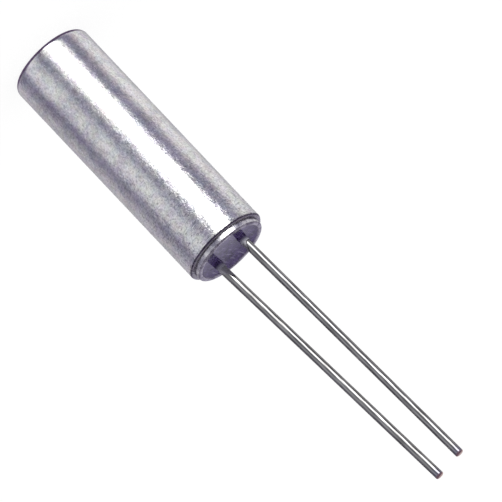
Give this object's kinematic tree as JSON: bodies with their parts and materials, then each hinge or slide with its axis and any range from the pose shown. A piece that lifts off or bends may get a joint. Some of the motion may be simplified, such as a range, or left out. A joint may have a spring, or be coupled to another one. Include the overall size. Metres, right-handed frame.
{
  "type": "crystal oscillator",
  "caption": "Cylindrical quartz crystal unit: drawn metal can, glass-sealed header ring and straight wire leads with a slight lean.",
  "frame": {"origin": "middle of the can's closed end, on its flat face", "axes": "+Z along the can's axis towards the leads, X along the row of the two leads"},
  "size_m": [0.003, 0.003, 0.0197],
  "materials": {
    "can_metal": "satin, finely mottled plating on drawn nickel silver",
    "ring_metal": "satin plating",
    "seal_glass": "glossy dark fused glass",
    "lead_wire": "bright tinned wire",
    "quartz": "lapped, clear",
    "electrode_film": "evaporated silver film",
    "adhesive": "cured silver-filled adhesive"
  },
  "bodies": {
    "root": {"can": "can_metal", "header_ring": "ring_metal", "glass_seal": "seal_glass", "lead_a": "lead_wire", "lead_b": "lead_wire", "quartz_blank": "quartz", "front_electrode": "electrode_film", "back_electrode": "electrode_film", "joint_a": "adhesive", "joint_b": "adhesive"}
  },
  "joints": []
}
